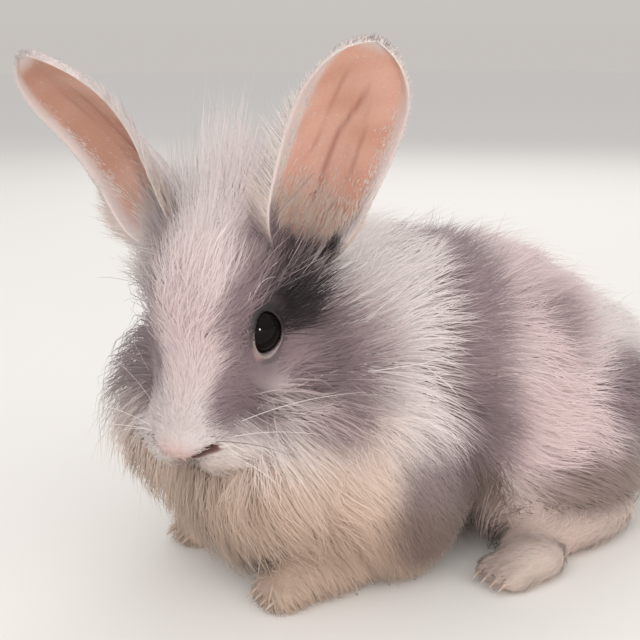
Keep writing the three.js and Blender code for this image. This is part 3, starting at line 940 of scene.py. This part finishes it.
def make_eye(side, name):
    """An eyeball whose front bulges a little."""
    turns = np.linspace(0, 2 * math.pi, EYE_TURNS, endpoint=False)
    tilts = np.linspace(0, math.pi, EYE_TILTS + 1)[1:-1]
    way, back, up = (axis * [side, 1, 1] for axis in (EYE_OUT, EYE_BACK, EYE_UP))
    ring = back[None] * np.cos(turns)[:, None] + up[None] * np.sin(turns)[:, None]
    rows = [math.cos(tilt) * way + math.sin(tilt) * ring for tilt in tilts]
    points = np.concatenate([*rows, [way], [-way]])
    bulge = np.exp(-((1 - points @ way) / 0.12))
    points = points * (EYE_RADIUS * (1 + 0.02 * bulge))[:, None]
    points = from_head(points + EYE_CENTRE * [side, 1, 1])
    triangles = facing_out(points - points.mean(0), ring_triangles(len(tilts), EYE_TURNS))
    made = make_mesh(name + "_ball", points, triangles, BALL_LOOK)
    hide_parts(name)


make_eye(1, "eye_left")
make_eye(-1, "eye_right")


# The lie and the depth of the coat.

PART_DEPTHS = np.array([depth for *_, depth in PARTS.values()])
# The middle of the fur that is kept short in front of the left ear, in the head's frame.
EAR_FRONT = np.array([18, 20, 11])


def weights(points):
    """How much each part of the body counts at each place."""
    distance = part_distances(points)
    distance[FEET] -= 1.5 * smooth(22 - points[:, 2], 0, 10)
    near = np.exp(-np.maximum(distance, -20) / 2.5)
    return near / near.sum(0)


def head_depth(local):
    """The coat's depth on the head: short on the face, deep on the cheeks, deepest on the right temple."""
    x, y, z = local.T
    behind = smooth(y + 0.8 * np.maximum(0, np.abs(x) - 9), -22, -2)
    place = eye_place(local)
    clear = smooth(np.hypot(place[:, 1], place[:, 2]) + 2 * np.maximum(0, 2 - place[:, 0]), 6.5, 17)
    deep = mix(14.0, 7.5, smooth(z, -2, 12))
    deep = deep + 9 * smooth(-x, 8, 18) * (1 - smooth(z, 8, 20))
    deep = deep * mix(0.35, 1, smooth(size_of(local - EAR_FRONT), 7, 15))
    front = mix(0.6, 2.4, smooth(y, -33, -26)) - 0.9 * smooth(z, -8, 2)
    return mix(front, deep, behind * clear)


def coat_depth(points):
    depths = np.repeat(PART_DEPTHS[:, None], len(points), 1)
    depths[0] = head_depth(to_head(points))
    return (weights(points) * depths).sum(0)


def lie(points):
    """The way that the coat lies at each place, before it is laid along the skin."""
    x, y, z = points.T
    local = to_head(points)
    side, out = np.sign(local[:, 0]), np.abs(local[:, 0])
    one = np.ones(len(points))
    cheek = smooth(out, 6, 18)
    outward = mix(0.1, 0.35, cheek) + 0.6 * smooth(-local[:, 0], 12, 20)
    down = mix(-0.85, -0.05, smooth(local[:, 2], -20, 2)) * mix(0.3, 1, cheek)
    on_head = unit(columns(side * outward * smooth(out, 0, 5), one, down))
    place = eye_place(local)
    from_eye = np.hypot(place[:, 1], place[:, 2])
    aside = (place[:, 1:2] * EYE_BACK + place[:, 2:3] * EYE_UP) / np.maximum(from_eye, 1)[:, None]
    aside[:, 0] *= side
    round_eye = 1.5 * (1 - smooth(from_eye, 5, 12)) * (place[:, 0] > 0)
    on_head = unit(on_head + aside * round_eye[:, None]) @ HEAD_TURN.T
    chest = smooth(-y, 40, 62)
    ways = {
        "head": on_head,
        "neck": columns(0.02 * x, mix(1, 0.05, chest), mix(-0.45, -1, chest)),
        "torso": columns(0.004 * x, one, mix(-0.9, -0.12, smooth(z, 5, 75))),
        "foot": columns(0 * one, -one, -0.1 * one),
        "foreleg": columns(0.01 * x, 0.5 * one, -one),
        "tail": columns(0.05 * x, 0.5 * one, one),
    }
    ways["haunch"] = ways["torso"]
    ways = np.array([ways[part] if part == "foot" else unit(ways[part]) for part in PARTS])
    return (weights(points)[:, :, None] * ways).sum(0)


def laid(way, normal):
    return unit(way - normal * (way * normal).sum(-1, keepdims=True))


# Hairs.

DRAW = np.random.default_rng(20)


class Roots:
    """Places on the skin where hairs grow: point, normal, and place on the skin's unwrap and on an ear."""

    def __init__(self, points, normals, uv, place=None):
        self.points, self.normals, self.uv, self.place = points, normals, uv, place

    def __len__(self):
        return len(self.points)

    def only(self, keep):
        return Roots(self.points[keep], self.normals[keep], self.uv[keep])


def skin_uv():
    flat = np.zeros(len(skin.data.loops) * 2, np.float32)
    skin.data.uv_layers["OFBake"].uv.foreach_get("vector", flat)
    return flat.reshape(-1, 3, 2)


SKIN_UV = skin_uv()


def face_normals(corners):
    """Each triangle's normal, twice as long as its area."""
    return np.cross(corners[:, 1] - corners[:, 0], corners[:, 2] - corners[:, 0])


def scatter(part, density):
    """Roots spread over one part of the skin, with so many to a square millimetre."""
    start, end, _, place = SKIN_PARTS[part]
    faces = np.arange(start, end)
    corners = SKIN_POINTS[SKIN_TRIANGLES[faces]]
    cross = face_normals(corners)
    area = size_of(cross) / 2
    expected = area * density(corners.mean(1)) * THINNING
    total = int(expected.sum())
    face = DRAW.choice(len(faces), total, p=expected / expected.sum())
    a, b = DRAW.random(total), DRAW.random(total)
    over = a + b > 1
    a[over], b[over] = 1 - a[over], 1 - b[over]
    parts = columns(1 - a - b, a, b)
    points = (corners[face] * parts[:, :, None]).sum(1)
    uv = (SKIN_UV[faces[face]] * parts[:, :, None]).sum(1)
    return Roots(points, unit(cross[face]), uv, None if place is None else place[face])


def laid_paths(roots, way, length, depth, steps, rise=2.0, sink=0.5):
    """The middle line of each hair: it follows the flesh under it and rises off it towards its tip."""
    foot = roots.points.copy()
    normal = roots.normals
    path = [foot - normal * sink]
    normals = [normal]
    for step in range(1, steps + 1):
        foot = foot + laid(way(foot), normal) * (length / steps)[:, None]
        slope = unit(slope_of(flesh, foot, 0.3))
        foot = foot - np.clip(flesh(foot), -4, 4)[:, None] * slope
        normal = slope
        share = step / steps
        path.append(foot + normal * (depth * (1 - (1 - share) ** rise))[:, None])
        normals.append(normal)
    path = np.array(path)
    path[1:-1] = 0.5 * path[1:-1] + 0.25 * (path[:-2] + path[2:])
    return path, np.array(normals)


def free_paths(roots, way, length, droop, steps, sink=0.3):
    """Hairs that leave the skin in a given way and curve as they go."""
    path = [roots.points - roots.normals * sink]
    for step in range(1, steps + 1):
        share = step / steps
        path.append(roots.points + way * (length * share)[:, None] + droop * (length * share**2)[:, None])
    return np.array(path), np.repeat(roots.normals[None], steps + 1, 0)


def nearest_of(points, leaders):
    tree = KDTree(len(leaders))
    for number, leader in enumerate(leaders):
        tree.insert(points[leader], number)
    tree.balance()
    return np.array([tree.find(point)[1] for point in points])


TUFT_REACH = 4
TUFT_START = 1.3


def clumped(path, roots, every, strength):
    """The lines drawn together towards their tips, in tufts of about so many."""
    count = len(roots)
    leaders = DRAW.choice(count, max(count // every, 1), replace=False)
    lead = path[:, leaders[nearest_of(roots.points, leaders)]]
    apart = lead[0] - path[0]
    keep = np.exp(-((size_of(apart) / TUFT_REACH) ** 2))
    share = np.linspace(0, 1, len(path)) ** TUFT_START
    pull = share[:, None, None] * (strength * keep)[None, :, None]
    return path + (lead - path) * pull


def scattered(path, amount):
    """The lines spread a little at their tips, each its own way."""
    share = np.linspace(0, 1, len(path)) ** 1.5
    return path + DRAW.normal(size=(1, path.shape[1], 3)) * share[:, None, None] * amount


# How far a hair's shading follows the skin under it.
SOFTNESS = 0.88
# How wide a hair's patch on the unwrap is.
PATCH = 0.003
# How low a hair may hang.
HAIR_FLOOR = 0.15


def hairs(name, roots, path, normals, width, colours, thick=0.45):
    """One mesh of closed, three-sided, tapering hairs, coloured from root to tip."""
    steps, count = len(path) - 1, path.shape[1]
    tangent = unit(np.gradient(path, axis=0))
    across = unit(np.cross(tangent, normals))
    out = np.cross(across, tangent)
    share = np.linspace(0, 1, steps + 1)
    half = 0.5 * width[None] * (1 - 0.75 * share**1.5)[:, None]
    rings, turned = [], []
    for side, rise in [(1, -0.5), (0, 1), (-1, -0.5)]:
        away = across * side + out * (rise * thick)
        rings.append(path[:-1] + away[:-1] * half[:-1, :, None])
        turned.append(unit(mix(unit(across * side + out * rise), normals, SOFTNESS))[:-1])

    def by_hair(rows, tips):
        rows = np.stack(rows, 1).reshape(steps * 3, count, 3)
        return np.concatenate([rows, tips]).transpose(1, 0, 2).reshape(-1, 3)

    size = steps * 3 + 1
    faces = [(0, 1, 2)]
    for ring in range(steps - 1):
        for side in range(3):
            a, b = ring * 3 + side, ring * 3 + (side + 1) % 3
            faces += [(a, b + 3, b), (a, a + 3, b + 3)]
    last = (steps - 1) * 3
    faces += [(last + (side + 1) % 3, last + side, size - 1) for side in range(3)]
    faces = np.array(faces)
    every = (np.arange(count) * size)[:, None, None] + faces[None]
    level = np.append(np.repeat(share[:-1], 3), 1.0)
    root_colour, tip_colour = colours
    tone = mix(root_colour[:, None], tip_colour[:, None], level[None, :, None])
    patch = columns(np.append(np.tile([0.0, 0.5, 1.0], steps), 0.5), level) * PATCH - PATCH / 2
    points = by_hair(rings, path[-1:])
    points[:, 2] = np.maximum(points[:, 2], HAIR_FLOOR)
    made = make_mesh(
        name,
        points,
        every.reshape(-1, 3),
        COAT_LOOK,
        uv=(roots.uv[:, None] + patch[None])[:, faces].reshape(-1, 2),
        colour=np.clip(tone, 0, 1).reshape(-1, 3),
        normals=by_hair(turned, normals[-1:]),
    )
    return made


def tinted(path, root_level, tip_level, vary=0.05):
    """Each hair's colour at its root and its tip, from the markings where its outer half lies."""
    count = path.shape[1]
    middle = path[max(1, round((len(path) - 1) / 2))] + DRAW.normal(size=(count, 3)) * 0.9
    shade = (1 + vary * DRAW.standard_normal(count))[:, None]
    low = coat_colour(middle) * shade
    high = mix(low, coat_colour(path[-1]) * shade, 0.6)
    return low * root_level, high * tip_level


PIECE_LIMIT = 190000


def straightened(path):
    """The same hairs, with each one that kinks made straight."""
    parts = np.diff(path, axis=0)
    ways = unit(parts)
    size = size_of(parts)
    even = ((ways[1:] * ways[:-1]).sum(-1) > 0.6).all(0) & (size.max(0) < 2.5 * size.min(0) + 1)
    share = np.linspace(0, 1, len(path))[:, None, None]
    return np.where(even[None, :, None], path, mix(path[:1], path[-1:], share))


def clear(path):
    """Which hairs leave the eyes and the nostrils' creases clear."""
    samples = np.concatenate([path, (path[1:] + path[:-1]) / 2])
    local = to_head(samples.reshape(-1, 3))
    place = eye_place(local)
    high = size_of(place) - EYE_RADIUS
    over = (place[:, 0] > 0) & (high < 16) & (opening(place) < 0.4 + 0.4 * high)
    over |= slit(local) < 0.3
    return ~over.reshape(samples.shape[:2]).any(0)


def in_pieces(name, roots, path, normals, width, colours):
    """Hairs as several meshes, each under the limit of triangles, parted along the body."""
    triangles = (len(path) - 2) * 6 + 4
    path = straightened(path)
    order = np.argsort(roots.points[:, 1])
    order = order[clear(path)[order]]
    pieces = math.ceil(len(order) * triangles / PIECE_LIMIT)
    for number, chosen in enumerate(np.array_split(order, pieces)):
        made = hairs(
            f"{name}_{number + 1}" if pieces > 1 else name,
            roots.only(chosen),
            path[:, chosen],
            normals[:, chosen],
            width[chosen],
            [colour[chosen] for colour in colours],
        )
        made.visible_shadow = False


def wavy(amount, seed, own):
    """A lie that wanders from place to place and a little from hair to hair."""

    def made(points):
        return lie(points) + amount * ripples(points, 4.5, seed) + own

    return made


def bare(local):
    """Where no hair grows: on the eye's opening and rim, and in the slits of the nose and mouth."""
    place = eye_place(local)
    eye = (place[:, 0] > 0) & (opening(place) < 0.5) & (size_of(place) < EYE_RADIUS + 3)
    return eye | (slit(local) < 0.6) | (mouth(local) < 0.3)


# The coat's hairs to a square millimetre, and the least and the greatest width of a hair.
LONG_DENSITY, LONG_WIDTH = 1.02, (0.26, 0.45)
SHORT_DENSITY, SHORT_WIDTH = 3.7, (0.16, 0.26)
WISP_DENSITY, WISP_WIDTH = 0.14, (0.12, 0.22)
CROWN_DENSITY, FLUFF_WIDTH = 5.5, (0.12, 0.24)
TUFT_DENSITY, MUZZLE_WIDTH = 5.0, (0.18, 0.3)
EAR_HAIR_WIDTH = (0.14, 0.24)
WHISKER_WIDTH = 0.15


def drawn(spread, roots):
    return DRAW.uniform(*spread, len(roots))


def strayed(amount, roots):
    return DRAW.normal(size=(len(roots), 3)) * amount


def long_coat():
    def density(points):
        under = smooth(points[:, 2], 1, 9)
        front = 1 + 0.5 * smooth(-points[:, 1], 20, 50)
        return LONG_DENSITY * smooth(coat_depth(points), 3.5, 8) * mix(0.3, 1, under) * front

    roots = scatter("body", density)
    depth = coat_depth(roots.points) * drawn((0.55, 1.05), roots)
    length = (2.8 + 1.12 * depth) * drawn((0.75, 1.3), roots)
    path, normals = laid_paths(roots, wavy(0.32, 30, strayed(0.2, roots)), length, depth, 3)
    path = clumped(path, roots, 40, 0.35)
    path = clumped(path, roots, 9, 0.4)
    path = scattered(path, 0.8)
    in_pieces("coat_long", roots, path, normals, drawn(LONG_WIDTH, roots), tinted(path, 0.9, 1.04))


def short_coat():
    def density(points):
        local = to_head(points)
        grown = (1 - smooth(coat_depth(points), 4, 9)) * smooth(points[:, 2], 0.6, 2.5)
        face_hair = 1 + 0.7 * smooth(-local[:, 1], -2, 12) * (points[:, 2] > 30)
        return np.where(bare(local), 0, SHORT_DENSITY * grown * face_hair)

    roots = scatter("body", density)
    depth = (0.6 + 0.75 * coat_depth(roots.points)) * drawn((0.5, 1.1), roots)
    muzzle = smooth(-to_head(roots.points)[:, 1], 20, 32)
    length = (mix(3.0, 0.8, muzzle) + 0.9 * depth) * drawn((0.75, 1.3), roots)
    own = strayed(0.24, roots)
    path, normals = laid_paths(roots, wavy(0.3, 40, own), length, depth, 2, rise=1.5, sink=0.2)
    path = clumped(path, roots, 10, 0.25)
    width = drawn(SHORT_WIDTH, roots)
    in_pieces("coat_short", roots, path, normals, width, tinted(path, 0.95, 1.03, 0.035))


def wisps():
    """Fine single hairs that stand out over the coat all round."""

    def density(points):
        return WISP_DENSITY * smooth(coat_depth(points), 4, 9) * smooth(points[:, 2], 6, 16)

    roots = scatter("body", density)
    high = smooth(roots.points[:, 2], 30, 60)
    depth = coat_depth(roots.points) * drawn((0.9, 1.3), roots) * mix(0.5, 1, high) + 0.5
    length = (6 + depth) * drawn((0.8, 1.25), roots) * mix(0.65, 1, high)
    path, normals = laid_paths(roots, wavy(0.4, 50, strayed(0.3, roots)), length, depth, 3, rise=1.6)
    path = scattered(path, 1.0)
    in_pieces("coat_wisps", roots, path, normals, drawn(WISP_WIDTH, roots), tinted(path, 0.9, 1.1))


def over_head(density):
    """A density worked out in the head's frame, with nothing where the head is bare."""

    def made(points):
        local = to_head(points)
        return np.where(bare(local), 0, density(local))

    return made


def standing(name, roots, way, droop, length, width, tip_level, tuft=(12, 0.4)):
    """Hairs that leave the head in a way of their own and curve towards their tips."""
    path, normals = free_paths(roots, unit(way) @ HEAD_TURN.T, length, droop, 4)
    path = clumped(path, roots, *tuft)
    in_pieces(name, roots, path, normals, drawn(width, roots), tinted(path, 0.9, tip_level))


def crown():
    """The mane between the ears, standing up in fine wisps."""

    def density(points):
        local = to_head(points)
        here = (local[:, 1] > 2) & (local[:, 2] > 5)
        return np.where(here, CROWN_DENSITY * (1 - smooth(np.abs(local[:, 0] + 5), 9, 16)), 0)

    roots = scatter("body", density)
    x, y, _ = to_head(roots.points).T
    way = columns(0.045 * x, np.full(len(x), 0.25), np.ones(len(x))) + strayed(0.2, roots)
    droop = head_way([0, 0.45, -0.2]) + 0.25 * ripples(roots.points, 2.5, 70) + strayed(0.1, roots)
    length = mix(8, 24, smooth(y, 3, 15)) * drawn((0.35, 1.1), roots)
    length = length * mix(1, 1.2, smooth(x, -4, 5))
    standing("coat_crown", roots, way, droop, length, FLUFF_WIDTH, 1.08)


def fluff(name, centre, radii, towards, lengths, seed):
    """A patch of fluff on the head that stands out in a direction of its own."""
    roots = scatter("body", over_head(lambda local: TUFT_DENSITY * spot(local, centre, radii, 0.4)))
    way = np.array(towards) + strayed(0.2, roots)
    droop = head_way([0.1, 0.25, -0.3]) + 0.25 * ripples(roots.points, 2.5, seed) + strayed(0.1, roots)
    standing(name, roots, way, droop, drawn(lengths, roots), FLUFF_WIDTH, 1.06)


def muzzle_coat():
    """The long, pale hair that sweeps aside and down from the lips."""
    lips = (11, -22, -17), (6, 7, 6), 0.3
    roots = scatter("body", over_head(lambda local: TUFT_DENSITY * spot(mirrored(local), *lips)))
    x, y, _ = to_head(roots.points).T
    back = smooth(y, -28, -18)
    way = columns(0.8 * np.sign(x), mix(-0.05, -0.25, back), mix(-0.3, -0.42, back)) + strayed(0.12, roots)
    droop = head_way([0, 0.1, -0.22]) + 0.1 * ripples(roots.points, 3, 60)
    length = mix(5, 19, back) * drawn((0.45, 1.15), roots)
    standing("coat_muzzle", roots, way, droop, length, MUZZLE_WIDTH, 1.06, (14, 0.45))


def ear_coat(name):
    """Short fur on the ear's back and rim, down inside it, a fringe on its edges and fluff at its root."""
    _, _, inside, place = SKIN_PARTS[name]
    _, along, ahead, aside = ear_frame(*EARS[name])
    side = EARS[name][0]

    def density(_):
        share, across = place[:, 0], np.abs(place[:, 1])
        band = smooth(across, 0.58, 0.82) + smooth(share, 0.88, 0.96)
        inner = 0.3 + 4.2 * band + 3.0 * (1 - smooth(share, 0.1, 0.34))
        return np.where(inside, inner, 1.7 + 2.0 * smooth(across, 0.75, 0.95))

    roots = scatter(name, density)
    share, across = roots.place.T
    edge = smooth(np.abs(across), 0.75, 1.0)
    low = 1 - smooth(share, 0.12, 0.5)
    medial = smooth(-side * across, 0.55, 0.95) * (1 - smooth(share, 0.5, 0.85))
    outer = smooth(side * across, 0.5, 0.9) * (1 - smooth(share, 0.2, 0.45)) * (name == "right")
    spread = across * (0.2 * edge + 0.7 * medial + 0.9 * outer)
    way = unit(along + 0.1 * roots.normals + aside * spread[:, None] + strayed(0.13, roots))
    length = 1.3 + 4 * low + (8 * medial + 7 * outer) * DRAW.random(len(roots))
    length = length * drawn((0.6, 1.3), roots)
    path, _ = free_paths(roots, way, length, roots.normals * -0.1, 2, sink=0.2)
    path = clumped(path, roots, 8, 0.25)
    inner = roots.normals @ ahead > 0.1
    lit = unit(np.where(inner, 0.3, 0.8)[:, None] * roots.normals + ahead + [0, 0, 0.4])
    rim = np.maximum(smooth(np.abs(across), 0.7, 0.9), smooth(share, 0.9, 0.95))
    normals = np.where((inner | (rim > 0.5))[:, None], lit, roots.normals)
    normals = np.broadcast_to(normals, path.shape)
    shade = mix(0.35, 0.6, smooth(ripple(roots.points, 8, seed=90), -1, 1)) * (1 - 0.8 * edge)
    tone = np.where(inner[:, None], blend(WHITE, CREAM, 0.6 * low), blend(WHITE, GREY, shade))
    tone = blend(coat_colour(roots.points), tone, ear_grown(inner, share, across))
    tone = tone * (1 + 0.05 * DRAW.standard_normal(len(roots)))[:, None]
    in_pieces(f"ear_fur_{name}", roots, path, normals, drawn(EAR_HAIR_WIDTH, roots), [0.95 * tone, tone])


def roots_near(points):
    """The places on the skin nearest to some points."""
    start, end, _, _ = SKIN_PARTS["body"]
    middles = SKIN_POINTS[SKIN_TRIANGLES[start:end]].mean(1)
    found = np.array([size_of(middles - point).argmin() for point in points])
    cross = face_normals(SKIN_POINTS[SKIN_TRIANGLES[found]])
    return Roots(middles[found], unit(cross), SKIN_UV[found].mean(1))


def whiskers():
    """The whiskers on the lips and the few over the eyes."""
    places, ways, lengths = [], [], []
    for side in (1, -1):
        for row, height in enumerate((-15.5, -17.5, -19.5)):
            for step in range(4):
                places.append([side * (6.5 + step), -27 + 2.4 * step, height])
                ways.append([side * 1.0, 0.1 + 0.3 * step, 0.25 - 0.35 * row])
                lengths.append(24 + 5 * step - 2 * row)
        for step in range(3):
            places.append([side * 14, -2 + 2 * step, 8])
            ways.append([side * 0.6, -0.2 + 0.4 * step, 1.0])
            lengths.append(19 - 3 * step)
    roots = roots_near(from_head(places))
    way = unit(head_way(ways) + strayed(0.08, roots))
    droop = np.array([0, 0, -0.28]) + strayed(0.06, roots)
    length = np.array(lengths) * drawn((0.85, 1.15), roots)
    path, normals = free_paths(roots, way, length, droop, 10)
    colour = np.repeat(WHISKER[None], len(roots), 0)
    width = np.full(len(roots), WHISKER_WIDTH)
    hairs("whiskers", roots, path, normals, width, [0.8 * colour, colour], thick=0.8)


CLAW_RINGS, CLAW_SIDES = 7, 10
CLAW_LENGTH = 4.6
CLAW_RADIUS = 0.85
CLAW_FLOOR = 0.2


def claws():
    """A small curved claw at the end of each toe."""
    tips = [(side * (48 + aside), -5.6, 3.4) for side in (1, -1) for aside in TOES]
    tips += [(side * (22 + 0.9 * aside), -58.4, 3.2) for side in (1, -1) for aside in TOES]
    points, faces = [], []
    turns = np.linspace(0, 2 * math.pi, CLAW_SIDES, endpoint=False)
    for tip in tips:
        faces.append(ring_triangles(CLAW_RINGS, CLAW_SIDES) + len(points))
        for ring in range(CLAW_RINGS):
            share = ring / CLAW_RINGS
            middle = np.array(tip) + [0, -CLAW_LENGTH * share, 0.3 * share - 2.3 * share**2]
            size = CLAW_RADIUS * (1 - share) ** 0.7
            points += [middle + [0.8 * size * math.cos(t), 0, size * math.sin(t)] for t in turns]
        points += [np.array(tip) + [0, 0.4, 0], np.array(tip) + [0, -CLAW_LENGTH - 0.1, -2.0]]
    points, faces = np.array(points), np.concatenate(faces)
    points[:, 2] = np.maximum(points[:, 2], CLAW_FLOOR)
    made = make_mesh("claws", points, facing_out(points - points.mean(0), faces), CLAW_LOOK)


long_coat()
short_coat()
muzzle_coat()
wisps()
crown()
fluff("coat_temple", (-17, 13, 10), (9, 13, 10), (-1, 0.15, 0.35), (7, 20), 71)
fluff("coat_forelock", (12, 18, 14), (9, 6, 7), (0.1, 0.45, 0.9), (4, 12), 72)
for ear in EARS:
    ear_coat(ear)
whiskers()
claws()
